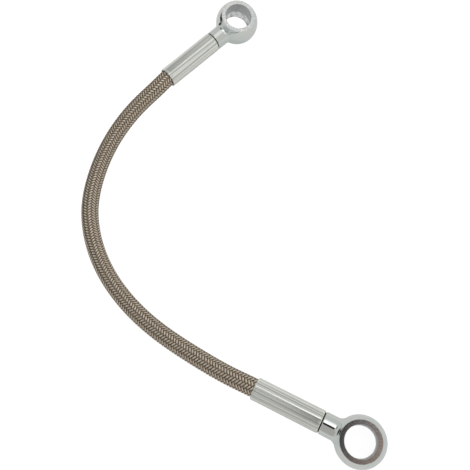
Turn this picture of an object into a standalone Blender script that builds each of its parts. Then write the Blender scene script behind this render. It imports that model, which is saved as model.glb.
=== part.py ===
"""Oil feed line: a braided hose with a crimped banjo fitting on each end.

It lies as it comes to rest. X runs from the near eye to the far eye, the hose bows towards +Y, and Z is up.
The near eye lies flat. The far eye was crimped on clocked about its own neck, so it rests on an edge and its
ferrule rises a little towards the hose, which comes down to the surface further along.
"""

import math

import bmesh
import bpy
import numpy as np
from mathutils import Matrix, Vector

MM = 0.001

# Fits
FIT_GAP = 0.3 * MM  # between pieces that touch
CUT_OVER = 1.0 * MM  # how far a cutter runs past the face that it cuts

# Hose
HOSE_OD = 7.7 * MM
BRAID_WALL = 0.6 * MM
LINER_WALL = 0.7 * MM
CRIMP_SQUEEZE = 0.15 * MM  # how much the crimp takes off the hose's radius
HOSE_SIDES_RESOLUTION = 4  # a bevel resolution, which gives twelve sides
HOSE_STEP = 16.0 * MM  # between the points of the free stretch

# Eyes
EYE_SPAN = 194.0 * MM  # between the two bores
EYE_BALL_DIAMETER = 19.7 * MM
EYE_THICKNESS = 12.0 * MM
EYE_BORE = 12.0 * MM
BORE_CHAMFER = 0.2 * MM
NEAR_NECK_HEADING = 49.6  # degrees from +X, from the near eye towards its hose
FAR_NECK_HEADING = 119.8  # the same at the far eye
FAR_EYE_CLOCKING = -17.5  # degrees that the far eye is turned about its neck
FAR_NECK_RISE = 4.9  # degrees that the far neck climbs towards the hose

# Neck and collar
NECK_LENGTH = 5.4 * MM  # from the ball to the collar's end face
NECK_FLARE = 0.9 * MM  # how much the neck's radius grows towards the eye
NECK_FLARE_LENGTH = 5.0 * MM
COLLAR_STEP = 0.1 * MM  # the collar's radius is this much under the ferrule's
COLLAR_EDGE = 0.25 * MM

# Ferrule
FERRULE_OD = 9.1 * MM
FERRULE_LENGTH = 28.1 * MM
FERRULE_LIP = 2.5 * MM  # thickness of the inturned end that holds it on the tail
FERRULE_SHOULDER = 0.8 * MM  # rounding of the end next to the collar
FERRULE_RIM = 0.2 * MM  # rounding of the mouth
MOUTH_FLARE_LENGTH = 3.0 * MM
CRIMP_FLATS = 10
CRIMP_DEPTH = 0.12 * MM
CRIMP_MARGIN = 0.6 * MM  # round length left at each end of the flats
NEAR_CRIMP_CLOCKING = 12.0  # degrees round the neck from the bore's axis to an edge between two flats
FAR_CRIMP_CLOCKING = -5.0

# Tail, inside the hose
OIL_PASSAGE = 2.2 * MM
TAIL_GROOVE_DIAMETER = 4.4 * MM
TAIL_STOP_DIAMETER = 5.8 * MM
TAIL_STOP_LENGTH = 1.0 * MM
TAIL_LENGTH = 18.0 * MM  # from the stop to the tip
BARB_COUNT = 5
BARB_DEPTH = 0.3 * MM
TIP_LENGTH = 1.5 * MM

# Facets
EYE_STEPS = 48
NECK_STEPS = 32
FERRULE_STEPS = 40
BALL_SEGMENTS = 10
FLARE_SEGMENTS = 6
ROUND_SEGMENTS = 4
DRILL_SIDES = 16

# The free hose's own route, chosen by hand, between the two ferrules
ROUTE = [
    (72.6, 26.9, 12.1),
    (66.2, 38.5, 11.0),
    (59.2, 49.5, 8.5),
    (50.5, 59.0, 5.8),
    (39.6, 66.4, 4.2),
    (27.3, 71.0, 4.0),
    (14.3, 72.3, 4.0),
    (1.2, 70.8, 4.0),
    (-11.3, 66.9, 4.0),
    (-22.9, 61.1, 4.0),
    (-33.6, 53.8, 4.0),
    (-43.6, 45.2, 4.2),
    (-53.0, 36.0, 4.9),
    (-62.0, 26.3, 5.7),
]

# What follows from the sizes above
EYE_RADIUS = EYE_BALL_DIAMETER / 2
FACE_RADIUS = math.sqrt(EYE_RADIUS**2 - (EYE_THICKNESS / 2) ** 2)
FERRULE_RADIUS = FERRULE_OD / 2
COLLAR_RADIUS = FERRULE_RADIUS - COLLAR_STEP
COLLAR_END = EYE_RADIUS + NECK_LENGTH
FERRULE_START = COLLAR_END + FIT_GAP
FERRULE_END = FERRULE_START + FERRULE_LENGTH
STOP_START = FERRULE_START + FERRULE_LIP + FIT_GAP
STOP_END = STOP_START + TAIL_STOP_LENGTH
TAIL_END = STOP_END + TAIL_LENGTH
HOSE_START = STOP_END + FIT_GAP
BRAID_RADIUS = HOSE_OD / 2
LINER_RADIUS = BRAID_RADIUS - BRAID_WALL - FIT_GAP
FERRULE_BORE_RADIUS = BRAID_RADIUS - CRIMP_SQUEEZE + FIT_GAP
MOUTH_RADIUS = BRAID_RADIUS + FIT_GAP
BARB_RADIUS = LINER_RADIUS - LINER_WALL - CRIMP_SQUEEZE - FIT_GAP
LIP_BORE_RADIUS = TAIL_GROOVE_DIAMETER / 2 + FIT_GAP


def clear_scene():
    for old in list(bpy.data.objects):
        bpy.data.objects.remove(old, do_unlink=True)


def collection(name):
    made = bpy.data.collections.new(name)
    bpy.context.scene.collection.children.link(made)
    return made


def material(name, colour, roughness, metallic):
    made = bpy.data.materials.new(name)
    made.use_nodes = True
    shader = made.node_tree.nodes["Principled BSDF"]
    shader.inputs["Base Color"].default_value = (*colour, 1.0)
    shader.inputs["Roughness"].default_value = roughness
    shader.inputs["Metallic"].default_value = metallic
    return made


def link(name, data, home, parent=None):
    made = bpy.data.objects.new(name, data)
    home.objects.link(made)
    made.parent = parent
    return made


def as_cutter(tool):
    tool.hide_render = True
    tool.display_type = "WIRE"
    return tool


def arc(centre, radius, start, end, segments):
    """Points on an arc in the profile's plane, from one angle to the other, in degrees."""
    angles = [math.radians(start + (end - start) * i / segments) for i in range(segments + 1)]
    return [(centre[0] + radius * math.cos(a), centre[1] + radius * math.sin(a)) for a in angles]


def turned(name, profile, steps, closed, home, parent=None):
    """A body turned about its own Z: the profile lists (radius, height) down its outer side."""
    mesh = bpy.data.meshes.new(name)
    edges = [(i, i + 1) for i in range(len(profile) - 1)]
    if closed:
        edges.append((len(profile) - 1, 0))
    mesh.from_pydata([(r, 0.0, z) for r, z in profile], edges, [])
    made = link(name, mesh, home, parent)
    screw = made.modifiers.new("turn", "SCREW")
    screw.axis = "Z"
    screw.steps = steps
    screw.render_steps = steps
    screw.use_merge_vertices = True
    screw.merge_threshold = 1e-6
    return made


def boolean(target, tool, operation):
    step = target.modifiers.new(operation.lower(), "BOOLEAN")
    step.operation = operation
    step.object = tool
    step.solver = "EXACT"


def along_neck(piece):
    """Turns a body that was made about Z so that it runs along the hose end's own X."""
    piece.rotation_euler = (0.0, math.radians(90.0), 0.0)
    return piece


def ball_profile():
    """Half the eye's outline: a ball between its two flats."""
    top = math.degrees(math.asin(EYE_THICKNESS / 2 / EYE_RADIUS))
    side = arc((0.0, 0.0), EYE_RADIUS, top, -top, BALL_SEGMENTS)
    return [(0.0, EYE_THICKNESS / 2), *side, (0.0, -EYE_THICKNESS / 2)]


def bore_profile():
    """The bore and a chamfer at each face, past both faces."""
    half = EYE_THICKNESS / 2
    high = half + CUT_OVER
    wide = EYE_BORE / 2 + BORE_CHAMFER + CUT_OVER
    inner = half - BORE_CHAMFER
    return [
        (0.0, high),
        (wide, high),
        (EYE_BORE / 2, inner),
        (EYE_BORE / 2, -inner),
        (wide, -high),
        (0.0, -high),
    ]


def flare_profile():
    """The neck, widening towards the eye in an even curve."""
    start = EYE_BORE / 2 + CUT_OVER
    points = []
    for i in range(FLARE_SEGMENTS + 1):
        part = i / FLARE_SEGMENTS
        points.append((COLLAR_RADIUS + NECK_FLARE * (1 - part) ** 2, start + NECK_FLARE_LENGTH * part))
    return points


def barb_profile():
    """Saw teeth from the stop to the tip: each has its steep side towards the eye."""
    pitch = (TAIL_LENGTH - TIP_LENGTH) / BARB_COUNT
    root = BARB_RADIUS - BARB_DEPTH
    points = []
    for i in range(BARB_COUNT):
        foot = STOP_END + pitch * i
        points.append((root, foot))
        points.append((root, foot + pitch / 4))
        points.append((BARB_RADIUS, foot + pitch / 4))
    points.append((root, TAIL_END - TIP_LENGTH))
    points.append((root, TAIL_END))
    return points


def tail_profile():
    """Neck, collar, lip groove, stop and barbed tail, from the eye outwards."""
    groove = TAIL_GROOVE_DIAMETER / 2
    stop = TAIL_STOP_DIAMETER / 2
    rounded = arc((COLLAR_RADIUS - COLLAR_EDGE, COLLAR_END - COLLAR_EDGE), COLLAR_EDGE, 0, 90, ROUND_SEGMENTS)
    return [
        (0.0, EYE_BORE / 2),
        (COLLAR_RADIUS + NECK_FLARE, EYE_BORE / 2),
        *flare_profile(),
        *rounded,
        (groove, COLLAR_END),
        (groove, STOP_START),
        (stop, STOP_START),
        (stop, STOP_END),
        *barb_profile(),
        (0.0, TAIL_END),
    ]


def ferrule_profile():
    """The sleeve's closed section: its outside from the eye to the mouth, then back along its bore."""
    shoulder = arc(
        (FERRULE_RADIUS - FERRULE_SHOULDER, FERRULE_START + FERRULE_SHOULDER),
        FERRULE_SHOULDER,
        -90,
        0,
        ROUND_SEGMENTS,
    )
    rim = arc((FERRULE_RADIUS - FERRULE_RIM, FERRULE_END - FERRULE_RIM), FERRULE_RIM, 0, 90, ROUND_SEGMENTS)
    return [
        (LIP_BORE_RADIUS, FERRULE_START),
        *shoulder,
        *rim,
        (MOUTH_RADIUS, FERRULE_END),
        (FERRULE_BORE_RADIUS, FERRULE_END - MOUTH_FLARE_LENGTH),
        (FERRULE_BORE_RADIUS, FERRULE_START + FERRULE_LIP),
        (LIP_BORE_RADIUS, FERRULE_START + FERRULE_LIP),
    ]


def crimp_cutter(name, clocking, home, parent):
    """One long block for each flat that the crimping dies leave on the sleeve."""
    mesh = bmesh.new()
    length = FERRULE_LENGTH - 2 * CRIMP_MARGIN
    middle = FERRULE_START + FERRULE_LENGTH / 2
    height = CRIMP_DEPTH + CUT_OVER
    out = FERRULE_RADIUS - CRIMP_DEPTH + height / 2
    width = FERRULE_RADIUS
    for i in range(CRIMP_FLATS):
        turn = Matrix.Rotation(math.radians(clocking + 360 * (i + 0.5) / CRIMP_FLATS), 4, "X")
        place = turn @ Matrix.Translation((middle, 0.0, out)) @ Matrix.Diagonal((length, width, height, 1.0))
        bmesh.ops.create_cube(mesh, size=1.0, matrix=place)
    data = bpy.data.meshes.new(name)
    mesh.to_mesh(data)
    mesh.free()
    return as_cutter(link(name, data, home, parent))


def banjo(name, parent, home, tools, steel):
    """The eye, neck and tail: one piece of steel, bored and drilled."""
    eye = turned(name, ball_profile(), EYE_STEPS, False, home, parent)
    tail = as_cutter(along_neck(turned(name + "_tail_tool", tail_profile(), NECK_STEPS, False, tools, parent)))
    bore = as_cutter(turned(name + "_bore_tool", bore_profile(), EYE_STEPS, False, tools, parent))
    drilled = [
        (0.0, TAIL_END + CUT_OVER),
        (OIL_PASSAGE / 2, TAIL_END + CUT_OVER),
        (OIL_PASSAGE / 2, 0.0),
        (0.0, 0.0),
    ]
    drill = as_cutter(along_neck(turned(name + "_drill_tool", drilled, DRILL_SIDES, False, tools, parent)))
    boolean(eye, tail, "UNION")
    boolean(eye, bore, "DIFFERENCE")
    boolean(eye, drill, "DIFFERENCE")
    eye.data.materials.append(steel)
    return eye


def ferrule(name, clocking, parent, home, tools, steel):
    """The crimped sleeve. Its profile runs outwards along the neck, so it is turned the other way round."""
    profile = [(r, -z) for r, z in ferrule_profile()]
    sleeve = turned(name, profile, FERRULE_STEPS, True, home, parent)
    sleeve.rotation_euler = (0.0, math.radians(-90.0), 0.0)
    boolean(sleeve, crimp_cutter(name + "_crimp_tool", clocking, tools, parent), "DIFFERENCE")
    sleeve.data.materials.append(steel)
    return sleeve


def neck_turn(heading, rise, clocking):
    """The turn of a hose end, from its own axes to the line's."""
    level = Matrix.Rotation(math.radians(heading), 4, "Z")
    climb = Matrix.Rotation(math.radians(-rise), 4, "Y")
    return level @ climb @ Matrix.Rotation(math.radians(clocking), 4, "X")


def eye_rest_height(turn):
    """How high an eye's centre lies when it rests on its lowest edge."""
    upright = min((turn @ Vector((0.0, 0.0, 1.0))).z, 1.0)
    return EYE_THICKNESS / 2 * upright + FACE_RADIUS * math.sqrt(1.0 - upright**2)


def eye_line():
    """The Y of both eyes, which puts the fittings' box in the middle."""
    reach = []
    for heading, rise in ((NEAR_NECK_HEADING, 0.0), (FAR_NECK_HEADING, FAR_NECK_RISE)):
        turn = math.radians(heading)
        level = FERRULE_END * math.cos(math.radians(rise))
        reach.append(level * math.sin(turn) + FERRULE_RADIUS * abs(math.cos(turn)))
    return (EYE_RADIUS - max(reach)) / 2


def hose_end(name, side, turn, home):
    """An empty at an eye's centre: its X runs along the neck, and its Z is the bore's axis."""
    end = link(name, None, home)
    place = Matrix.Translation((side * EYE_SPAN / 2, eye_line(), eye_rest_height(turn)))
    end.matrix_world = place @ turn
    return end


def smooth_curve(points, start_way, end_way, step):
    """Points about a step apart on the cubic spline through the given ones, with set directions at its ends."""
    knots = np.array(points, float)
    gaps = np.linalg.norm(np.diff(knots, axis=0), axis=1)
    at = np.concatenate([[0.0], np.cumsum(gaps)])
    count = len(knots)
    system = np.zeros((count, count))
    wanted = np.zeros((count, 3))
    system[0, 0] = 1.0
    wanted[0] = start_way
    system[-1, -1] = 1.0
    wanted[-1] = end_way
    for i in range(1, count - 1):
        before, after = gaps[i - 1], gaps[i]
        system[i, i - 1 : i + 2] = (after, 2 * (before + after), before)
        slope_before = (knots[i] - knots[i - 1]) / before
        slope_after = (knots[i + 1] - knots[i]) / after
        wanted[i] = 3 * (after * slope_before + before * slope_after)
    slopes = np.linalg.solve(system, wanted)
    made = []
    for along in np.linspace(0.0, at[-1], max(2, round(at[-1] / step) + 1)):
        i = min(max(int(np.searchsorted(at, along)) - 1, 0), count - 2)
        part = (along - at[i]) / gaps[i]
        made.append(
            knots[i] * (1 + 2 * part) * (1 - part) ** 2
            + slopes[i] * gaps[i] * part * (1 - part) ** 2
            + knots[i + 1] * part**2 * (3 - 2 * part)
            + slopes[i + 1] * gaps[i] * part**2 * (part - 1)
        )
    return made


def hose_line(near, far):
    """The hose's points from the far fitting to the near one, each with the radius that the crimp leaves."""

    def on(end, distance):
        return np.array(end.matrix_world @ Vector((distance, 0.0, 0.0)))

    far_way = (on(far, FERRULE_END) - on(far, HOSE_START)) / (FERRULE_END - HOSE_START)
    near_way = (on(near, HOSE_START) - on(near, FERRULE_END)) / (FERRULE_END - HOSE_START)
    route = [on(far, FERRULE_END), *(np.array(p) * MM for p in ROUTE), on(near, FERRULE_END)]
    free = smooth_curve(route, far_way, near_way, HOSE_STEP)
    held = [HOSE_START, FERRULE_END - MOUTH_FLARE_LENGTH]
    opened = FERRULE_END - MOUTH_FLARE_LENGTH / 3
    points = [on(far, d) for d in held] + [on(far, opened)] + free
    points += [on(near, opened)] + [on(near, d) for d in reversed(held)]
    squeezed = [0, 1, len(points) - 2, len(points) - 1]
    return points, [CRIMP_SQUEEZE if i in squeezed else 0.0 for i in range(len(points))]


def hose_layer(name, line, squeeze, radius, wall, home, look):
    """One tube of the hose, open at both ends."""
    path = bpy.data.curves.new(name + "_path", "CURVE")
    path.dimensions = "3D"
    path.bevel_depth = radius
    path.bevel_resolution = HOSE_SIDES_RESOLUTION
    spline = path.splines.new("POLY")
    spline.points.add(len(line) - 1)
    for point, place, less in zip(spline.points, line, squeeze):
        point.co = (*place, 1.0)
        point.radius = (radius - less) / radius
    guide = bpy.data.objects.new(name + "_path", path)
    bpy.context.scene.collection.objects.link(guide)
    bpy.context.view_layer.update()
    skin = bpy.data.meshes.new_from_object(guide.evaluated_get(bpy.context.evaluated_depsgraph_get()))
    bpy.data.objects.remove(guide, do_unlink=True)
    tube = link(name, skin, home)
    shell = tube.modifiers.new("wall", "SOLIDIFY")
    shell.thickness = wall
    shell.offset = -1.0
    skin.shade_smooth()
    skin.materials.clear()
    skin.materials.append(look)
    return tube


def build():
    clear_scene()
    home = collection("oil_feed_line")
    tools = collection("cutters")
    plated = material("plated_steel", (0.80, 0.82, 0.80), 0.18, 1.0)
    crimped = material("crimped_steel", (0.74, 0.76, 0.73), 0.3, 1.0)
    wire = material("braid_wire", (0.55, 0.49, 0.42), 0.4, 0.8)
    white = material("liner_ptfe", (0.9, 0.9, 0.88), 0.5, 0.0)
    near = hose_end("near_end", -1, neck_turn(NEAR_NECK_HEADING, 0.0, 0.0), home)
    far = hose_end("far_end", 1, neck_turn(FAR_NECK_HEADING, FAR_NECK_RISE, FAR_EYE_CLOCKING), home)
    for side, end, clocking in (("near", near, NEAR_CRIMP_CLOCKING), ("far", far, FAR_CRIMP_CLOCKING)):
        banjo("banjo_fitting_" + side, end, home, tools, plated)
        ferrule("crimp_ferrule_" + side, clocking, end, home, tools, crimped)
    line, squeeze = hose_line(near, far)
    hose_layer("hose_braid", line, squeeze, BRAID_RADIUS, BRAID_WALL, home, wire)
    hose_layer("hose_liner", line, squeeze, LINER_RADIUS, LINER_WALL, home, white)


build()
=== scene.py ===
"""Looks of a braided oil feed line with a banjo fitting on each end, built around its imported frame.

Metres, +Z up. A hose end has its own axes: X runs out along the neck and Z is the axis of the
eye's bore.
"""

import math

import bmesh
import bpy
import numpy as np
from mathutils import Matrix, Vector


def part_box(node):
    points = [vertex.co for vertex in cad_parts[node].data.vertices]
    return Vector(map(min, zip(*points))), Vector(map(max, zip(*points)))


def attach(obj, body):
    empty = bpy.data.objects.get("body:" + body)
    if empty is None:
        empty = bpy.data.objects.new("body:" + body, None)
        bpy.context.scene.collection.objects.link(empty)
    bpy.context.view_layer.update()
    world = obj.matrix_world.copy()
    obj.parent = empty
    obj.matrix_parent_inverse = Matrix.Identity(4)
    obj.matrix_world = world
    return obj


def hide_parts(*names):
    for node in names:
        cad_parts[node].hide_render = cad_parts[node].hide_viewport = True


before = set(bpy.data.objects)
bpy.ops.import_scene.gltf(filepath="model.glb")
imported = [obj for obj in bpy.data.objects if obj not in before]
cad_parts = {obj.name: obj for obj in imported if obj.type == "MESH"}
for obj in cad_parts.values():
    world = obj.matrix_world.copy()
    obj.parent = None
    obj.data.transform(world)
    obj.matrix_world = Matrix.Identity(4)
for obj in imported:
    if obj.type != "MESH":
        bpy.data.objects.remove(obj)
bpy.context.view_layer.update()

MM = 0.001

# Camera, as the photograph was taken
CAMERA_PLACE = Vector((-94.25, -2.98, 250.32)) * MM
CAMERA_AIM = Vector((-5.39, 10.93, 6.10)) * MM
CAMERA_UP = Vector((0.91078, -0.26648, 0.31537))
CAMERA_LENS = 47.13
SENSOR_WIDTH = 36.0

# Hose
HOSE_OD = 7.7 * MM
CRIMP_SQUEEZE = 0.15 * MM  # off the hose's radius inside a ferrule
HELD_LENGTH = 24.0 * MM  # from a cut end of the hose to the mouth of its ferrule
OPENING_LENGTH = 3.0 * MM  # over which the hose grows back to its full size in the mouth
LINE_STEP = 0.25 * MM  # between the points that the braid is laid along

# Braid
CARRIERS = 12  # bands of wires laid each way round
BAND_PITCH = 1.3 * MM  # along the hose between one band and the next
WIRES_IN_BAND = 6
BAND_FILL = 0.9  # share of its pitch that a band covers
BAND_LIFT = 0.17 * MM  # how far a band rises and dips where it crosses the others
BAND_CREST = 0.05 * MM  # height of a wire over the valley beside it
BAND_CROWN = 0.11 * MM  # how much lower a band's edges lie than its middle
WEAVE_REPEAT = 4  # bands crossed from one rise of a band to its next
STEPS_A_WAVE = 6  # along that stretch
LIFT_SHARPNESS = 1.0  # a higher one rises and dips more steeply and lies flatter between
BACKING_SIDES = 32
BACKING_STEP = 1.5 * MM
BACKING_INSIDE = 3.15 * MM
BACKING_WALL = 0.15 * MM

# Eyes
EYE_SPAN = 194.0 * MM
EYE_RADIUS = 9.85 * MM
EYE_THICKNESS = 12.0 * MM
EYE_BORE = 12.0 * MM
BORE_ROUNDING = 0.13 * MM
FACE_ROUNDING = 0.08 * MM
NEAR_NECK_HEADING = 49.6  # degrees
FAR_NECK_HEADING = 119.8
FAR_EYE_CLOCKING = -17.5
FAR_NECK_RISE = 4.9

# Neck, collar and tail, by their distance from the eye's centre
NECK_RADIUS = 4.45 * MM
NECK_FILLET = 3.0 * MM  # between the ball and the neck
COLLAR_END = 15.25 * MM
COLLAR_EDGE = 0.4 * MM
SEAT_RADIUS = 4.0 * MM  # a low step that the sleeve's lip nearly touches
SEAT_END = 15.5 * MM
GROOVE_RADIUS = 2.2 * MM
STOP_RADIUS = 2.9 * MM
STOP_START = 18.35 * MM
STOP_END = 19.35 * MM
TAIL_END = 37.35 * MM
TIP_LENGTH = 1.5 * MM
BARB_COUNT = 5
BARB_RADIUS = 1.8 * MM
BARB_DEPTH = 0.3 * MM
PASSAGE_RADIUS = 1.1 * MM

# Ferrule
FERRULE_RADIUS = 4.55 * MM
FERRULE_START = 15.55 * MM
FERRULE_END = 43.65 * MM
FERRULE_LIP = 2.5 * MM
LIP_BORE_RADIUS = 2.5 * MM
FERRULE_BORE_RADIUS = 4.0 * MM
MOUTH_RADIUS = 4.15 * MM
FERRULE_SHOULDER = 0.55 * MM
FERRULE_RIM = 0.15 * MM
CRIMP_FLATS = 10
CRIMP_DEPTH = 0.148 * MM
CRIMP_RUNOUT = 0.6 * MM  # over which the flats fade at each end
CRIMP_END_SHARE = 0.35  # of their depth that is left there
NEAR_CRIMP_CLOCKING = 12.0  # degrees round the neck from the bore's axis to an edge between two flats
FAR_CRIMP_CLOCKING = -5.0

# Fineness of the meshes
EYE_STEPS = 128
NECK_STEPS = 96
PASSAGE_STEPS = 24
STEPS_A_FLAT = 24
ROUND_SEGMENTS = 6
FILLET_SEGMENTS = 14
BALL_SEGMENTS = 40
FERRULE_STEP = 0.7 * MM
CUT_OVER = 1.0 * MM  # by which a cutting tool passes what it cuts
LEVEL_NORMAL = 0.9999  # least Z of the normal of a polygon that lies in an eye's flat face
FACE_SLACK = 0.01 * MM  # by which such a polygon's middle may lie under the face
EVEN_WEIGHT = 80  # of large polygons in the evened shading

# The free hose's own route, in millimetres, from the far ferrule to the near one
ROUTE = [
    (72.6, 26.9, 12.1),
    (66.2, 38.5, 11.0),
    (59.2, 49.5, 8.5),
    (50.5, 59.0, 5.8),
    (39.6, 66.4, 4.2),
    (27.3, 71.0, 4.0),
    (14.3, 72.3, 4.0),
    (1.2, 70.8, 4.0),
    (-11.3, 66.9, 4.0),
    (-22.9, 61.1, 4.0),
    (-33.6, 53.8, 4.0),
    (-43.6, 45.2, 4.2),
    (-53.0, 36.0, 4.9),
    (-62.0, 26.3, 5.7),
]

# Attributes that the materials read
OWN_AXES = "own_axes"
# How open each wire of the braid lies, which its colour turns into painted shade
PAINTED_LIGHT_SHARE = "painted_light_share"

# Marks in the finishes, as the scale of a noise: cells in a metre, or those along X, Y and Z
TURNING_MARKS = 5200.0
BORE_MARKS = 3600.0
SPECKS = 1900.0
PAINTED_REFLECTION_SPOTS = 480.0
PLATING_TINTS = 170.0
PLATING_CLOUDS = 260.0
PLATING_GRAIN = 2600.0
SLEEVE_LINES = (18.0, 2300.0, 2300.0)
SLEEVE_BANDS = (9.0, 900.0, 900.0)
SLEEVE_SCORES_AND_REFLECTIONS = (7.0, 1350.0, 1350.0)
SLEEVE_CLOUDS = 190.0
WIRE_GRIME = 1400.0
WIRE_DRAWING = 2600.0
WIRE_GRAIN = 5000.0
PAINTED_GAP_SHADE_MOTTLE = 3000.0
LINER_CLOUDS = 300.0
LINER_WEAR = 900.0
LINER_GRAIN = 1500.0

# The painted reflection of the floor, in spots on the lower half of each bore, by its depth under the
# bore's middle
PAINTED_REFLECTION_START = 0.4 * MM
PAINTED_REFLECTION_FULL = 0.7 * MM

# Colours of the finishes. Those of a ramp are stops of (value, colour).
PLATING_COLOURS = [
    (0.32, (0.60, 0.665, 0.635)),
    (0.52, (0.665, 0.70, 0.67)),
    (0.70, (0.69, 0.695, 0.655)),
]
BORE_COLOURS = [(0.40, (0.40, 0.42, 0.41)), (0.62, (0.62, 0.65, 0.63))]
PAINTED_FLOOR_REFLECTION = (0.97, 0.985, 0.97)
RING_SHADE = (0.47, 0.48, 0.47)
DARK_SPECK = (0.49, 0.48, 0.47)
PALE_SPECK = (0.80, 0.77, 0.75)
# Painted shadow, near black, on the collar's end and the sleeve's lip
PAINTED_GAP_SHADOW = (0.03, 0.028, 0.025)  # where a collar and its sleeve face each other
# Light and dark streaks along a sleeve, partly drawn marks and partly painted reflection
SLEEVE_TONES_AND_PAINTED_REFLECTIONS = [
    (0.38, (0.54, 0.555, 0.51)),
    (0.45, (0.76, 0.775, 0.73)),
    (0.50, (0.66, 0.68, 0.635)),
    (0.55, (0.79, 0.80, 0.75)),
    (0.62, (0.88, 0.89, 0.83)),
]
DARK_SCORE_AND_REFLECTION = (0.34, 0.35, 0.32)
PALE_SCORE_AND_GLINT = (0.94, 0.95, 0.90)
# The wire's tones, from painted shade where it dips under others to its own colour where it lies open
WIRE_COLOURS_WITH_PAINTED_SHADE = [
    (0.30, (0.055, 0.042, 0.029)),
    (0.60, (0.31, 0.25, 0.185)),
    (0.84, (0.58, 0.495, 0.395)),
    (1.0, (0.73, 0.645, 0.53)),
]
# Painted shade, near black, for the lower wires in the braid's gaps
BRAID_GAP_PAINTED_SHADE = [(0.4, (0.02, 0.016, 0.012)), (0.6, (0.05, 0.04, 0.03))]
LINER_COLOURS = [(0.4, (0.78, 0.78, 0.75)), (0.6, (0.86, 0.86, 0.84))]

# Sky, with soft round patches: azimuth and elevation of the middle, radius of the even part and
# radius where the patch ends, in degrees, and its level
SKY_LEVEL = 0.69
PATCHES = [
    (139.0, 45.0, 26.0, 44.0, 0.5),
    (55.0, 8.0, 10.0, 24.0, 0.03),
    (12.0, 62.0, 7.0, 19.0, 0.2),
    (-61.0, 60.0, 12.0, 24.0, 1.0),
    (-150.0, 52.0, 12.0, 27.0, 1.02),
]

FLOOR_REACH = 2.0  # half its width
# The floor's colour and glow, for most light, in the metal and for the camera
FLOOR_PLAIN = (0.8, 0.0)
FLOOR_IN_METAL = (0.8, 0.22)
FLOOR_SEEN = (0.4, 0.88)

# Sheets that the metal mirrors, in millimetres on their own axes, X along the near neck
CARD_CORNERS = ((-78.0, -31.0), (24.0, 45.0))
CARD_FADE = (2.0, -46.0)  # along X, from the dark end's colour to the pale one's
CARD_COLOURS = [(0.0, (0.012, 0.012, 0.012)), (0.35, (0.15, 0.14, 0.14)), (1.0, (0.50, 0.38, 0.345))]
PANEL_PLACE = Vector((-89.0, -6.0, 360.0)) * MM
PANEL_CORNERS = ((-12.0, -294.0), (125.0, -49.0))
PANEL_FADE = (-294.0, -120.0)  # along Y, from the far level to the full one
PANEL_FAR_LEVEL = 1.0
PANEL_LEVEL = 1.7

FACE_RADIUS = math.sqrt(EYE_RADIUS**2 - (EYE_THICKNESS / 2) ** 2)
BRAID_RADIUS = HOSE_OD / 2


# Places

def neck_turn(heading, rise, clocking):
    """The turn of a hose end, from its own axes to the line's."""
    level = Matrix.Rotation(math.radians(heading), 4, "Z")
    climb = Matrix.Rotation(math.radians(-rise), 4, "Y")
    return level @ climb @ Matrix.Rotation(math.radians(clocking), 4, "X")


def hose_end(side, heading, rise, clocking):
    """The matrix of a hose end, whose eye rests on its lowest edge."""
    turn = neck_turn(heading, rise, clocking)
    upright = min((turn @ Vector((0.0, 0.0, 1.0))).z, 1.0)
    height = EYE_THICKNESS / 2 * upright + FACE_RADIUS * math.sqrt(1.0 - upright**2)
    eye_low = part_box("banjo_fitting_near")[0]
    across = eye_low[1] + EYE_RADIUS
    return Matrix.Translation((side * EYE_SPAN / 2, across, height)) @ turn


def smooth_curve(points, start_way, end_way, step):
    """Points about a step apart on the cubic spline through the given ones, its end directions set."""
    knots = np.array(points, float)
    gaps = np.linalg.norm(np.diff(knots, axis=0), axis=1)
    at = np.concatenate([[0.0], np.cumsum(gaps)])
    count = len(knots)
    system = np.zeros((count, count))
    wanted = np.zeros((count, 3))
    system[0, 0] = 1.0
    wanted[0] = start_way
    system[-1, -1] = 1.0
    wanted[-1] = end_way
    for i in range(1, count - 1):
        before, after = gaps[i - 1], gaps[i]
        system[i, i - 1 : i + 2] = (after, 2 * (before + after), before)
        slope_before = (knots[i] - knots[i - 1]) / before
        slope_after = (knots[i + 1] - knots[i]) / after
        wanted[i] = 3 * (after * slope_before + before * slope_after)
    slopes = np.linalg.solve(system, wanted)
    along = np.linspace(0.0, at[-1], max(2, round(at[-1] / step) + 1))
    i = np.clip(np.searchsorted(at, along) - 1, 0, count - 2)
    part = ((along - at[i]) / gaps[i])[:, None]
    gap = gaps[i][:, None]
    return (
        knots[i] * (1 + 2 * part) * (1 - part) ** 2
        + slopes[i] * gap * part * (1 - part) ** 2
        + knots[i + 1] * part**2 * (3 - 2 * part)
        + slopes[i + 1] * gap * part**2 * (part - 1)
    )


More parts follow.
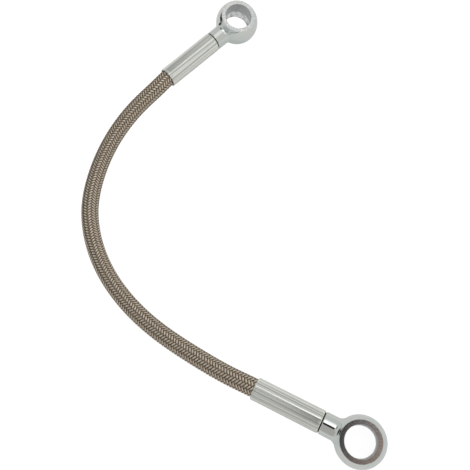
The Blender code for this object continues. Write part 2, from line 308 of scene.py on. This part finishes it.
class HoseLine:
    """The hose's centreline from its cut end in the far ferrule to the one in the near ferrule."""

    def __init__(self, far, near):
        def run(end, start, stop):
            reach = np.linspace(start, stop, max(2, round(abs(stop - start) / LINE_STEP)))
            return np.array([end @ Vector((x, 0.0, 0.0)) for x in reach])

        far_run = run(far, FERRULE_END - HELD_LENGTH, FERRULE_END)
        near_run = run(near, FERRULE_END, FERRULE_END - HELD_LENGTH)
        route = [far_run[-1], *(np.array(p) * MM for p in ROUTE), near_run[0]]
        far_way = (far_run[-1] - far_run[0]) / HELD_LENGTH
        near_way = (near_run[-1] - near_run[0]) / HELD_LENGTH
        free = smooth_curve(route, far_way, near_way, LINE_STEP)
        self.points = np.vstack([far_run[:-1], free, near_run[1:]])
        steps = np.linalg.norm(np.diff(self.points, axis=0), axis=1)
        self.at = np.concatenate([[0.0], np.cumsum(steps)])
        self.length = float(self.at[-1])
        self.far_mouth = HELD_LENGTH
        self.near_mouth = self.length - HELD_LENGTH
        self.ways = np.gradient(self.points, self.at, axis=0)
        self.ways /= np.linalg.norm(self.ways, axis=1)[:, None]
        self.sides, self.ups = self.frames()

    def frames(self):
        """Two directions across the line at each of its points, carried along without twist."""
        side = np.cross(self.ways[0], (0.0, 0.0, 1.0))
        sides = []
        for way in self.ways:
            side = side - way * (side @ way)
            side /= np.linalg.norm(side)
            sides.append(side)
        sides = np.array(sides)
        return sides, np.cross(self.ways, sides)

    def squeeze(self, along):
        """How much the crimp takes off the radius at these distances along the line."""
        inside = np.maximum(self.far_mouth - along, along - self.near_mouth)
        part = np.clip(inside / OPENING_LENGTH, 0.0, 1.0)
        return CRIMP_SQUEEZE * part * part * (3 - 2 * part)

    def place(self, along, angle, radius):
        """Points at these distances along the line, angles round it and distances from it."""
        def read(table):
            return np.stack([np.interp(along, self.at, table[:, k]) for k in range(3)], -1)

        out = radius - self.squeeze(along)
        side = read(self.sides) * np.cos(angle)[..., None]
        up = read(self.ups) * np.sin(angle)[..., None]
        return read(self.points) + (side + up) * out[..., None]


# Meshes

def new_object(name, verts, faces, matrix=None):
    mesh = bpy.data.meshes.new(name)
    mesh.from_pydata(verts.tolist() if isinstance(verts, np.ndarray) else verts, [], faces)
    mesh.validate()
    made = bpy.data.objects.new(name, mesh)
    bpy.context.scene.collection.objects.link(made)
    if matrix is not None:
        made.matrix_world = matrix
    return made


def keep_own_axes(made):
    """Stores each point's place in the piece's own axes, and moves the points to the line's axes."""
    mesh = made.data
    own = np.empty(len(mesh.vertices) * 3, np.float32)
    mesh.vertices.foreach_get("co", own)
    mesh.attributes.new(OWN_AXES, "FLOAT_VECTOR", "POINT").data.foreach_set("vector", own)
    mesh.transform(made.matrix_world)
    made.matrix_world = Matrix.Identity(4)


def faces_outwards(made):
    mesh = bmesh.new()
    mesh.from_mesh(made.data)
    bmesh.ops.recalc_face_normals(mesh, faces=mesh.faces)
    mesh.to_mesh(made.data)
    mesh.free()


def smooth(made, sharp_over=28.0):
    made.data.shade_smooth()
    made.data.set_sharp_from_angle(angle=math.radians(sharp_over))


def arc(centre, radius, start, end, segments):
    """Points on an arc in a profile's plane, from one angle to the other, in degrees."""
    angles = [math.radians(start + (end - start) * i / segments) for i in range(segments + 1)]
    return [(centre[0] + radius * math.cos(a), centre[1] + radius * math.sin(a)) for a in angles]


def lathe(name, profile, steps, axis, matrix, closed=False):
    """A body turned about one of its own axes from a profile of (radius, distance along the axis)."""
    verts = []
    rings = []
    for radius, along in profile:
        first = len(verts)
        count = 1 if radius == 0.0 else steps
        for k in range(count):
            angle = 2 * math.pi * k / steps
            a, b = radius * math.cos(angle), radius * math.sin(angle)
            verts.append((along, a, b) if axis == "X" else (a, b, along))
        rings.append(range(first, first + count))
    faces = []
    pairs = list(zip(rings, rings[1:]))
    if closed:
        pairs.append((rings[-1], rings[0]))
    for low, high in pairs:
        for k in range(steps):
            foot = [low[i % len(low)] for i in (k, k + 1)]
            head = [high[i % len(high)] for i in (k + 1, k)]
            faces.append(list(dict.fromkeys(foot + head)))
    made = new_object(name, verts, faces, matrix)
    faces_outwards(made)
    return made


def carve(target, tools):
    """Cuts the tools out of the target, and removes them."""
    for tool in tools:
        cut = target.modifiers.new("cut", "BOOLEAN")
        cut.operation = "DIFFERENCE"
        cut.object = tool
        cut.solver = "EXACT"
    cut_target = target.evaluated_get(bpy.context.evaluated_depsgraph_get())
    finished = bpy.data.meshes.new_from_object(cut_target)
    target.modifiers.clear()
    target.data = finished
    for tool in tools:
        bpy.data.objects.remove(tool, do_unlink=True)


# Banjo fittings

def fitting_profile():
    """Ball, fillet, neck, collar, lip groove, stop and barbed tail, turned about the neck's axis."""
    reach = EYE_RADIUS + NECK_FILLET
    rise = NECK_RADIUS + NECK_FILLET
    centre = math.sqrt(reach**2 - rise**2)
    meet = math.degrees(math.atan2(rise, centre))
    ball = [(y, x) for x, y in arc((0.0, 0.0), EYE_RADIUS, 180.0, meet, BALL_SEGMENTS)]
    fillet = [(y, x) for x, y in arc((centre, rise), NECK_FILLET, 180.0 + meet, 270.0, FILLET_SEGMENTS)]
    edge_middle = (NECK_RADIUS - COLLAR_EDGE, COLLAR_END - COLLAR_EDGE)
    edge = arc(edge_middle, COLLAR_EDGE, 0, 90, ROUND_SEGMENTS)
    pitch = (TAIL_END - TIP_LENGTH - STOP_END) / BARB_COUNT
    root = BARB_RADIUS - BARB_DEPTH
    barbs = []
    for i in range(BARB_COUNT):
        foot = STOP_END + pitch * i
        crest = foot + pitch / 4
        barbs += [(root, foot), (root, crest), (BARB_RADIUS, crest)]
    return [
        (0.0, -EYE_RADIUS),
        *ball[1:],
        *fillet[1:],
        *edge,
        (SEAT_RADIUS, COLLAR_END),
        (SEAT_RADIUS, SEAT_END),
        (GROOVE_RADIUS, SEAT_END),
        (GROOVE_RADIUS, STOP_START),
        (STOP_RADIUS, STOP_START),
        (STOP_RADIUS, STOP_END),
        *barbs,
        (root, TAIL_END - TIP_LENGTH),
        (root, TAIL_END),
        (0.0, TAIL_END),
    ]


def face_cutter_profile(side):
    """What comes off one side of the ball: down to the face, with the face's edge rounded over."""
    half = EYE_THICKNESS / 2
    middle = (FACE_RADIUS - FACE_ROUNDING, half - FACE_ROUNDING)
    rounded = arc(middle, FACE_ROUNDING, 90, 20, ROUND_SEGMENTS)
    low = rounded[-1][1]
    far = EYE_RADIUS * 2
    outside = [(FACE_RADIUS + FACE_ROUNDING, low), (far, low), (far, far), (0.0, far)]
    return [(r, side * z) for r, z in [(0.0, half), *rounded, *outside]]


def bore_profile():
    """The bore, rounded over into each face."""
    half = EYE_THICKNESS / 2
    wide = EYE_BORE / 2 + BORE_ROUNDING
    high = half + CUT_OVER
    top = arc((wide, half - BORE_ROUNDING), BORE_ROUNDING, 90, 180, ROUND_SEGMENTS)
    upper = [(wide, high), *top]
    return [(0.0, high), *upper, *((r, -z) for r, z in reversed(upper)), (0.0, -high)]


def banjo(name, end):
    """Eye, neck and barbed tail in one piece of plated steel."""
    body = lathe(name, fitting_profile(), NECK_STEPS, "X", end)
    tools = [lathe("face_tool", face_cutter_profile(side), EYE_STEPS, "Z", end) for side in (1, -1)]
    tools.append(lathe("bore_tool", bore_profile(), EYE_STEPS, "Z", end))
    passage = [
        (0.0, 0.0),
        (PASSAGE_RADIUS, 0.0),
        (PASSAGE_RADIUS, TAIL_END + CUT_OVER),
        (0.0, TAIL_END + CUT_OVER),
    ]
    tools.append(lathe("passage_tool", passage, PASSAGE_STEPS, "X", end))
    carve(body, tools)
    smooth(body)
    crease_faces(body.data)
    even = body.modifiers.new("even_shading", "WEIGHTED_NORMAL")
    even.keep_sharp = True
    even.weight = EVEN_WEIGHT
    keep_own_axes(body)
    return body


def crease_faces(mesh):
    """Marks the edges of the eye's two flat faces, to keep their shading clear of the roundings."""
    height = EYE_THICKNESS / 2 - FACE_SLACK
    flat = [p for p in mesh.polygons if abs(p.normal.z) > LEVEL_NORMAL and abs(p.center.z) > height]
    keys = {key for polygon in flat for key in polygon.edge_keys}
    sharp = mesh.attributes["sharp_edge"].data
    for edge in mesh.edges:
        if edge.key in keys:
            sharp[edge.index].value = True


# Ferrules

def ferrule_section():
    """The sleeve's closed section: lip, outside, mouth and back along the bore."""
    start = FERRULE_START + FERRULE_SHOULDER
    end = FERRULE_END - FERRULE_RIM
    shoulder_middle = (FERRULE_RADIUS - FERRULE_SHOULDER, start)
    shoulder = arc(shoulder_middle, FERRULE_SHOULDER, -90, 0, ROUND_SEGMENTS)
    count = round((end - start) / FERRULE_STEP)
    spaced = [start + (end - start) * i / count for i in range(1, count)]
    rim = arc((FERRULE_RADIUS - FERRULE_RIM, end), FERRULE_RIM, 0, 90, ROUND_SEGMENTS)
    return [
        (LIP_BORE_RADIUS, FERRULE_START),
        *shoulder,
        *((FERRULE_RADIUS, x) for x in spaced),
        *rim,
        (MOUTH_RADIUS, FERRULE_END),
        (FERRULE_BORE_RADIUS, FERRULE_END - OPENING_LENGTH),
        (FERRULE_BORE_RADIUS, FERRULE_START + FERRULE_LIP),
        (LIP_BORE_RADIUS, FERRULE_START + FERRULE_LIP),
    ]


def flatten_crimps(mesh, clocking):
    """Presses the dies' flats into the sleeve's outside, which leaves an edge at the clocking angle."""
    share = 2 * math.pi / CRIMP_FLATS
    for vertex in mesh.vertices:
        x, y, z = vertex.co
        radius = math.hypot(y, z)
        if radius < MOUTH_RADIUS + FERRULE_RIM / 2:
            continue
        angle = math.atan2(-y, z) - math.radians(clocking)
        off_middle = (angle % share) - share / 2
        flat = (FERRULE_RADIUS - CRIMP_DEPTH) / math.cos(off_middle)
        depth = max(FERRULE_RADIUS - flat, 0.0)
        inside = min(x - FERRULE_START, FERRULE_END - x) / CRIMP_RUNOUT
        less = depth * min(max(inside, CRIMP_END_SHARE), 1.0)
        vertex.co.y -= y / radius * less
        vertex.co.z -= z / radius * less


def ferrule(name, end, clocking):
    """The crimped sleeve round the hose and the tail. Its first column of points lies on an edge."""
    steps = CRIMP_FLATS * STEPS_A_FLAT
    sleeve = lathe(name, ferrule_section(), steps, "X", end, closed=True)
    turn = math.radians(clocking + 90.0)
    sleeve.data.transform(Matrix.Rotation(turn, 4, "X"))
    flatten_crimps(sleeve.data, clocking)
    smooth(sleeve, sharp_over=40.0)
    keep_own_axes(sleeve)
    return sleeve


# Braid

def band_section():
    """A band's slant, and the offset and height of each wire's crest and of the valleys between."""
    turns = 2 * math.pi * (BRAID_RADIUS - BAND_LIFT)
    slope = math.atan2(turns / CARRIERS, BAND_PITCH)
    width = turns / CARRIERS * math.cos(slope) * BAND_FILL
    off = np.arange(2 * WIRES_IN_BAND + 1) / WIRES_IN_BAND - 1
    crests = np.where(np.arange(len(off)) % 2, BAND_CREST, 0.0)
    return slope, off, off * width / 2, crests - BAND_CROWN * off**2


def braid_bands(name, line, hand):
    """All the bands that wind one way, each passing over two of the others and then under two."""
    slope, share, offs, heights = band_section()
    turn_rate = 2 * math.pi / (CARRIERS * BAND_PITCH)
    crossing = BAND_PITCH / 2
    count = round(line.length / (WEAVE_REPEAT * crossing) * STEPS_A_WAVE)
    along = np.linspace(0.0, line.length, count + 1)
    middle = BRAID_RADIUS - BAND_LIFT - BAND_CREST
    points = []
    painted_light_share = []
    faces = []
    width = len(offs)
    for carrier in range(CARRIERS):
        column = 2 * carrier + hand * along / crossing
        wave = np.cos(2 * math.pi * (column - 0.5) / WEAVE_REPEAT)
        lift = hand * BAND_LIFT * np.tanh(LIFT_SHARPNESS * wave) / math.tanh(LIFT_SHARPNESS)
        angle = 2 * math.pi * carrier / CARRIERS + hand * turn_rate * along
        s = along[:, None] - hand * offs[None] * math.sin(slope)
        a = angle[:, None] + offs[None] * math.cos(slope) / middle
        r = middle + lift[:, None] + heights[None]
        first = len(points) * (count + 1) * width
        points.append(line.place(np.clip(s, 0.0, line.length), a, r).reshape(-1, 3))
        # Painted shade: dark where a band dips under the others and at its edges, its own colour where
        # it lies open
        open_side = 0.5 + 0.5 * (lift / BAND_LIFT)[:, None]
        painted_light_share.append((open_side * (1 - share[None] ** 4)).ravel())
        index = first + np.arange((count + 1) * width).reshape(count + 1, width)
        low, high = index[:-1], index[1:]
        for k in range(width):
            j = (k + 1) % width
            faces += np.stack([low[:, k], low[:, j], high[:, j], high[:, k]], -1).tolist()
        faces += [index[0].tolist(), index[-1].tolist()]
    made = new_object(name, np.vstack(points), faces)
    faces_outwards(made)
    made.data.shade_smooth()
    crease_valleys(made.data, width)
    store = made.data.attributes.new(PAINTED_LIGHT_SHARE, "FLOAT", "POINT")
    store.data.foreach_set("value", np.concatenate(painted_light_share).astype(np.float32))
    return made


def crease_valleys(mesh, width):
    """Marks the edges that run along the valleys, so that each wire is shaded as a round of its own."""
    ends = np.empty(len(mesh.edges) * 2, np.int32)
    mesh.edges.foreach_get("vertices", ends)
    ends = ends.reshape(-1, 2)
    column = ends % width
    sharp = (column[:, 0] == column[:, 1]) & (column[:, 0] % 2 == 0)
    mesh.attributes.new("sharp_edge", "BOOLEAN", "EDGE").data.foreach_set("value", sharp)


def braid_backing(name, line):
    """The crossing wires' lower side, a thin tube that shows through the gaps between the bands."""
    count = round(line.length / BACKING_STEP)
    along = np.linspace(0.0, line.length, count + 1)
    angle = np.linspace(0.0, 2 * math.pi, BACKING_SIDES, endpoint=False)
    s, a = np.meshgrid(along, angle, indexing="ij")
    radii = (BACKING_INSIDE, BACKING_INSIDE + BACKING_WALL)
    skins = [line.place(s, a, np.full_like(s, radius)).reshape(-1, 3) for radius in radii]
    index = np.arange((count + 1) * BACKING_SIDES).reshape(count + 1, BACKING_SIDES)
    turned = np.roll(index, -1, axis=1)
    faces = []
    for skin in range(2):
        off = skin * index.size
        wall = [index[:-1], turned[:-1], turned[1:], index[1:]]
        faces += (np.stack(wall, -1).reshape(-1, 4) + off).tolist()
    for row in (0, -1):
        inner = [index[row], turned[row]]
        outer = [turned[row] + index.size, index[row] + index.size]
        faces += np.stack(inner + outer, -1).tolist()
    made = new_object(name, np.vstack(skins), faces)
    faces_outwards(made)
    made.data.shade_smooth()
    return made


# Shader nodes

def feed(tree, socket, value):
    """Links an input to another node's output, or sets its value."""
    if isinstance(value, bpy.types.NodeSocket):
        tree.links.new(value, socket)
    else:
        socket.default_value = value


def add_node(tree, kind, **sockets):
    """A node with some of its inputs fed. A space in an input's name is written as an underscore."""
    made = tree.nodes.new("ShaderNode" + kind)
    for name, value in sockets.items():
        feed(tree, made.inputs[name.replace("_", " ")], value)
    return made


def colour_ramp(tree, value, stops):
    """A colour for each value, from stops of (value, colour)."""
    made = add_node(tree, "ValToRGB", Fac=value)
    band = made.color_ramp
    while len(band.elements) < len(stops):
        band.elements.new(0.5)
    for element, (at, colour) in zip(band.elements, stops):
        element.position = at
        element.color = (*colour, 1.0)
    return made.outputs["Color"]


def mix_shaders(tree, share, first, second):
    made = add_node(tree, "MixShader", Fac=share)
    feed(tree, made.inputs[1], first)
    feed(tree, made.inputs[2], second)
    return made.outputs["Shader"]


# Materials

class Look:
    """A material with a Principled shader, and short calls for the nodes that feed it."""

    def __init__(self, name, metallic, own_axes=False):
        self.material = bpy.data.materials.new(name)
        self.material.use_nodes = True
        self.tree = self.material.node_tree
        self.shader = self.tree.nodes["Principled BSDF"]
        self.shader.inputs["Metallic"].default_value = metallic
        if own_axes:
            self.coords = self.attribute(OWN_AXES).outputs["Vector"]
        else:
            self.coords = self.node("TexCoord").outputs["Object"]

    def node(self, kind, **sockets):
        return add_node(self.tree, kind, **sockets)

    def attribute(self, name):
        made = self.node("Attribute")
        made.attribute_name = name
        return made

    def stretched(self, scale):
        """The piece's own coordinates, scaled by different amounts along X, Y and Z."""
        return self.node("Mapping", Vector=self.coords, Scale=scale).outputs["Vector"]

    def noise(self, scale, vector=None, detail=3.0, roughness=0.55):
        made = self.node("TexNoise", Scale=scale, Detail=detail, Roughness=roughness)
        feed(self.tree, made.inputs["Vector"], vector or self.coords)
        return made.outputs["Fac"]

    def marks(self, value, scale, detail):
        """Noise that changes with one value only, such as the distance from an axis."""
        along = self.node("CombineXYZ", X=self.times(value, scale))
        return self.noise(1.0, along.outputs["Vector"], detail)

    def math(self, operation, *values):
        made = self.node("Math")
        made.operation = operation
        for socket, value in zip(made.inputs, values):
            feed(self.tree, socket, value)
        return made.outputs["Value"]

    def times(self, first, second):
        return self.math("MULTIPLY", first, second)

    def between(self, value, low, high, to_low=0.0, to_high=1.0):
        """The value's place between two others, brought to another range and held inside it."""
        ends = {"From_Min": low, "From_Max": high, "To_Min": to_low, "To_Max": to_high}
        return self.node("MapRange", Value=value, **ends).outputs["Result"]

    def ramp(self, value, *stops):
        return colour_ramp(self.tree, value, stops)

    def mix(self, share, low, high):
        """One colour where the share is 0, the other where it is 1."""
        made = self.node("Mix")
        made.data_type = "RGBA"
        colours = [i for i in made.inputs if i.type == "RGBA"]
        feed(self.tree, made.inputs["Factor"], share)
        for socket, value in zip(colours, (low, high)):
            is_socket = isinstance(value, bpy.types.NodeSocket)
            feed(self.tree, socket, value if is_socket else (*value, 1.0))
        return next(o for o in made.outputs if o.type == "RGBA")

    def blend(self, first, second, share):
        """One number where the share is 0, the other where it is 1."""
        return self.math("MULTIPLY_ADD", self.math("SUBTRACT", second, first), share, first)

    def bump(self, height, distance, strength=1.0, under=None):
        made = self.node("Bump", Strength=strength, Distance=distance, Height=height)
        if under is not None:
            feed(self.tree, made.inputs["Normal"], under)
        return made.outputs["Normal"]

    def finish(self, colour, roughness, normal):
        feed(self.tree, self.shader.inputs["Base Color"], colour)
        feed(self.tree, self.shader.inputs["Roughness"], roughness)
        feed(self.tree, self.shader.inputs["Normal"], normal)
        return self.material


def plated_steel():
    """Bright plating: turning marks on the faces and in the bore, faint clouds elsewhere, a painted
    reflection of the floor in spots on each bore's lower half, and a painted shadow on the collar's
    end.
    """
    look = Look("plated_steel_finish", 1.0, own_axes=True)
    split = look.node("SeparateXYZ", Vector=look.coords)
    x, y, z = (split.outputs[k] for k in "XYZ")
    out = look.math("SQRT", look.math("ADD", look.times(x, x), look.times(y, y)))
    high = look.math("ABSOLUTE", z)
    on_face = look.between(high, EYE_THICKNESS / 2 - 0.07 * MM, EYE_THICKNESS / 2 - 0.015 * MM)
    in_bore = look.between(out, EYE_BORE / 2 + 0.12 * MM, EYE_BORE / 2 + 0.05 * MM)
    in_painted_reflection = look.times(in_bore, look.between(z, -PAINTED_REFLECTION_START, -PAINTED_REFLECTION_FULL))
    rings = look.marks(out, TURNING_MARKS, 4.0)
    threads = look.marks(z, BORE_MARKS, 3.0)
    specks = look.noise(SPECKS, detail=3.0, roughness=0.7)
    reflection_spots = look.between(look.noise(PAINTED_REFLECTION_SPOTS, detail=2.0), 0.43, 0.49)

    tint = look.ramp(look.noise(PLATING_TINTS, detail=4.0), *PLATING_COLOURS)
    tint = look.mix(in_bore, tint, look.ramp(specks, *BORE_COLOURS))
    # Painted reflection of the pale floor, in spots on the bore's lower half
    tint = look.mix(look.times(in_painted_reflection, reflection_spots), tint, PAINTED_FLOOR_REFLECTION)
    for value, plain, full, colour in (
        (rings, 0.58, 0.38, RING_SHADE),
        (specks, 0.52, 0.62, DARK_SPECK),
        (specks, 0.47, 0.38, PALE_SPECK),
    ):
        tint = look.mix(look.times(on_face, look.between(value, plain, full)), tint, colour)
    # Painted shadow on the collar's end, which faces the sleeve's lip
    tint = look.mix(look.between(x, COLLAR_END - 0.04 * MM, COLLAR_END), tint, PAINTED_GAP_SHADOW)

    worn = look.between(look.noise(PLATING_CLOUDS, detail=5.0), 0.35, 0.7, 0.05, 0.11)
    rough = look.blend(worn, look.between(rings, 0.3, 0.7, 0.06, 0.13), on_face)
    rough = look.blend(rough, look.between(threads, 0.3, 0.7, 0.25, 0.4), in_bore)

    fine = look.bump(look.noise(PLATING_GRAIN, detail=2.0), 0.002 * MM, 0.5)
    fine = look.bump(look.times(rings, on_face), 0.003 * MM, 0.8, fine)
    fine = look.bump(look.times(threads, in_bore), 0.02 * MM, 0.8, fine)
    return look.finish(tint, rough, fine)


def crimped_steel():
    """Satin plating, drawn into fine lines along the sleeve by the dies, with light and dark streaks
    along it that are partly drawn marks and partly painted reflection, and a painted shadow on the lip.
    """
    look = Look("crimped_steel_finish", 1.0, own_axes=True)
    lines = look.noise(1.0, look.stretched(SLEEVE_LINES), 4.0, 0.6)
    bands = look.noise(1.0, look.stretched(SLEEVE_BANDS), 2.0, 0.5)
    scores_and_reflections = look.noise(1.0, look.stretched(SLEEVE_SCORES_AND_REFLECTIONS), 1.0, 0.5)
    clouds = look.noise(SLEEVE_CLOUDS, detail=4.0)
    # The streaks and score lines in the colour are partly drawn marks and partly painted reflection
    streaks = look.math("MULTIPLY_ADD", bands, 0.85, look.times(clouds, 0.15))
    tint = look.ramp(streaks, *SLEEVE_TONES_AND_PAINTED_REFLECTIONS)
    tint = look.mix(look.between(scores_and_reflections, 0.43, 0.34, 0.0, 0.6), tint, DARK_SCORE_AND_REFLECTION)
    tint = look.mix(look.between(scores_and_reflections, 0.58, 0.66, 0.0, 0.9), tint, PALE_SCORE_AND_GLINT)
    x = look.node("SeparateXYZ", Vector=look.coords).outputs["X"]
    # Painted shadow on the sleeve's lip, which faces the collar's end
    tint = look.mix(look.between(x, FERRULE_START + 0.08 * MM, FERRULE_START), tint, PAINTED_GAP_SHADOW)
    rough = look.between(lines, 0.3, 0.7, 0.17, 0.28)
    fine = look.bump(lines, 0.010 * MM, 0.8)
    fine = look.bump(bands, 0.06 * MM, 0.8, fine)
    return look.finish(tint, rough, fine)


def braid_wire():
    """Drawn wire: warm grey steel, with painted shade that darkens it where it dips under others and at
    its bands' edges, and its own colour where it lies open.
    """
    look = Look("braid_wire_finish", 1.0)
    painted_light_share = look.attribute(PAINTED_LIGHT_SHARE).outputs["Fac"]
    grime = look.math("SUBTRACT", look.noise(WIRE_GRIME, detail=3.0), 0.5)
    tint = look.ramp(look.math("MULTIPLY_ADD", grime, 0.45, painted_light_share), *WIRE_COLOURS_WITH_PAINTED_SHADE)
    rough = look.between(look.noise(WIRE_DRAWING), 0.3, 0.7, 0.17, 0.3)
    return look.finish(tint, rough, look.bump(look.noise(WIRE_GRAIN, detail=2.0), 0.004 * MM, 0.4))


def braid_painted_shade():
    """The lower wires at the bottom of the gaps, painted almost black as shade."""
    look = Look("braid_gap_painted_shade", 1.0)
    tint = look.ramp(look.noise(PAINTED_GAP_SHADE_MOTTLE), *BRAID_GAP_PAINTED_SHADE)
    return look.finish(tint, 0.5, look.bump(look.noise(WIRE_GRAIN, detail=2.0), 0.01 * MM, 0.4))


def liner_look():
    """The fluoropolymer tube inside the braid: milky white with a waxy surface."""
    look = Look("liner_finish", 0.0)
    tint = look.ramp(look.noise(LINER_CLOUDS), *LINER_COLOURS)
    rough = look.between(look.noise(LINER_WEAR), 0.3, 0.7, 0.42, 0.55)
    return look.finish(tint, rough, look.bump(look.noise(LINER_GRAIN), 0.01 * MM, 0.4))


# Studio

def with_patch(tree, sky, azimuth, elevation, inner, outer, level):
    """The sky's level with a soft round patch of another level in it. The angles are in degrees."""
    a, e = math.radians(azimuth), math.radians(elevation)
    facing = add_node(tree, "VectorMath")
    facing.operation = "DOT_PRODUCT"
    feed(tree, facing.inputs[0], add_node(tree, "TexCoord").outputs["Generated"])
    feed(tree, facing.inputs[1], (math.cos(e) * math.cos(a), math.cos(e) * math.sin(a), math.sin(e)))
    share = add_node(
        tree,
        "MapRange",
        Value=facing.outputs["Value"],
        From_Min=math.cos(math.radians(outer)),
        From_Max=math.cos(math.radians(inner)),
    )
    share.interpolation_type = "SMOOTHSTEP"
    return add_node(tree, "Mix", Factor=share.outputs["Result"], A=sky, B=level).outputs["Result"]


def studio_world():
    """White for the camera, and for all other light a sky with soft patches."""
    world = bpy.data.worlds.new("studio")
    world.use_nodes = True
    bpy.context.scene.world = world
    tree = world.node_tree
    tree.nodes.clear()
    level = SKY_LEVEL
    for patch in PATCHES:
        level = with_patch(tree, level, *patch)
    white = (1.0, 1.0, 1.0, 1.0)
    room = add_node(tree, "Background", Color=white, Strength=level).outputs["Background"]
    seen = add_node(tree, "Background", Color=white, Strength=1.0).outputs["Background"]
    for_camera = add_node(tree, "LightPath").outputs["Is Camera Ray"]
    add_node(tree, "OutputWorld", Surface=mix_shaders(tree, for_camera, room, seen))


def stage_material(name):
    made = bpy.data.materials.new(name)
    made.use_nodes = True
    made.node_tree.nodes.clear()
    return made, made.node_tree


def floor():
    """A pale floor that glows for the camera and in reflections, and is clear from below."""
    corners = [(x * FLOOR_REACH, y * FLOOR_REACH, 0.0) for x, y in ((-1, -1), (1, -1), (1, 1), (-1, 1))]
    made = new_object("floor", corners, [(0, 1, 2, 3)])
    look, tree = stage_material("pale_floor")

    def lit(colour, glow):
        both = add_node(tree, "AddShader")
        diffuse = add_node(tree, "BsdfDiffuse", Color=(colour, colour, colour, 1.0))
        feed(tree, both.inputs[0], diffuse.outputs["BSDF"])
        feed(tree, both.inputs[1], add_node(tree, "Emission", Strength=glow).outputs["Emission"])
        return both.outputs["Shader"]

    rays = add_node(tree, "LightPath")
    shader = lit(*FLOOR_PLAIN)
    for kind, own in (("Is Glossy Ray", FLOOR_IN_METAL), ("Is Camera Ray", FLOOR_SEEN)):
        shader = mix_shaders(tree, rays.outputs[kind], shader, lit(*own))
    from_below = add_node(tree, "Math")
    from_below.operation = "MULTIPLY"
    feed(tree, from_below.inputs[0], add_node(tree, "NewGeometry").outputs["Backfacing"])
    feed(tree, from_below.inputs[1], rays.outputs["Is Camera Ray"])
    clear = add_node(tree, "BsdfTransparent").outputs["BSDF"]
    shader = mix_shaders(tree, from_below.outputs["Value"], shader, clear)
    add_node(tree, "OutputMaterial", Surface=shader)
    made.data.materials.append(look)


def only_in_metal(made, look):
    """Makes a part of the studio that the metal mirrors and nothing else sees."""
    made.data.materials.append(look)
    made.visible_camera = False
    made.visible_diffuse = False
    made.visible_shadow = False
    made.visible_transmission = False


def level_sheet(name, corners, middle):
    """A level rectangle, turned as the near neck is: X along the neck."""
    place = Matrix.Translation(middle) @ Matrix.Rotation(math.radians(NEAR_NECK_HEADING), 4, "Z")
    (x0, y0), (x1, y1) = corners
    around = [(x0, y0), (x1, y0), (x1, y1), (x0, y1)]
    return new_object(name, [(x * MM, y * MM, 0.0) for x, y in around], [(0, 1, 2, 3)], place)


def fade_along(tree, axis, start, end, to_start=0.0, to_end=1.0):
    """A value that changes between two places on one of a sheet's own axes."""
    split = add_node(tree, "SeparateXYZ", Vector=add_node(tree, "TexCoord").outputs["Object"])
    ends = {"From_Min": start * MM, "From_Max": end * MM, "To_Min": to_start, "To_Max": to_end}
    return add_node(tree, "MapRange", Value=split.outputs[axis], **ends).outputs["Result"]


def camera_card():
    """A dark card at the camera's height, paler at one end, for the flat near eye to mirror."""
    made = level_sheet("camera_card", CARD_CORNERS, CAMERA_PLACE)
    look, tree = stage_material("dark_card")
    colour = colour_ramp(tree, fade_along(tree, "X", *CARD_FADE), CARD_COLOURS)
    glow = add_node(tree, "Emission", Color=colour)
    add_node(tree, "OutputMaterial", Surface=glow.outputs["Emission"])
    only_in_metal(made, look)


def light_panel():
    """A bright panel above the near end, which makes the streaks on the necks, sleeves and braid."""
    made = level_sheet("light_panel", PANEL_CORNERS, PANEL_PLACE)
    look, tree = stage_material("bright_panel")
    level = fade_along(tree, "Y", *PANEL_FADE, PANEL_FAR_LEVEL, PANEL_LEVEL)
    glow = add_node(tree, "Emission", Strength=level)
    add_node(tree, "OutputMaterial", Surface=glow.outputs["Emission"])
    only_in_metal(made, look)


def camera():
    data = bpy.data.cameras.new("camera")
    data.lens = CAMERA_LENS
    data.sensor_width = SENSOR_WIDTH
    data.clip_start = 0.01
    data.clip_end = 50.0
    made = bpy.data.objects.new("camera", data)
    bpy.context.scene.collection.objects.link(made)
    back = (CAMERA_PLACE - CAMERA_AIM).normalized()
    right = CAMERA_UP.cross(back).normalized()
    up = back.cross(right)
    turn = Matrix((right, up, back)).transposed().to_4x4()
    made.matrix_world = Matrix.Translation(CAMERA_PLACE) @ turn
    bpy.context.scene.camera = made


def dress(piece, look, slot, *nodes):
    """Gives a piece its material, puts it on the part's one body and hides the imported nodes that it
    stands for.
    """
    piece.data.materials.clear()
    piece.data.materials.append(look)
    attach(piece, "root")
    if nodes:
        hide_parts(*nodes)
    return piece


def build():
    bpy.context.scene.view_settings.view_transform = "Standard"
    camera()
    studio_world()
    floor()
    camera_card()
    light_panel()
    near = hose_end(-1, NEAR_NECK_HEADING, 0.0, 0.0)
    far = hose_end(1, FAR_NECK_HEADING, FAR_NECK_RISE, FAR_EYE_CLOCKING)
    line = HoseLine(far, near)
    wire = braid_wire()
    painted_gap_shade = braid_painted_shade()
    left = dress(braid_bands("braid_bands_left", line, 1), wire, "braid_wire", "hose_braid")
    right = dress(braid_bands("braid_bands_right", line, -1), wire, "braid_wire")
    # The tube of lower wires takes the painted shade of the braid's gaps
    backing = dress(braid_backing("braid_lower_wires", line), painted_gap_shade, "braid_wire")
    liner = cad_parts["hose_liner"]
    liner.data.materials.clear()
    liner.data.materials.append(liner_look())
    plated = plated_steel()
    crimped = crimped_steel()
    for side, end, clocking in (("near", near, NEAR_CRIMP_CLOCKING), ("far", far, FAR_CRIMP_CLOCKING)):
        fitting = banjo("banjo_" + side, end)
        dress(fitting, plated, "plated_steel", "banjo_fitting_" + side)
        sleeve = ferrule("ferrule_" + side, end, clocking)
        dress(sleeve, crimped, "crimped_steel", "crimp_ferrule_" + side)
    print("hose length", round(line.length, 5), "free", round(line.near_mouth - line.far_mouth, 5))


build()
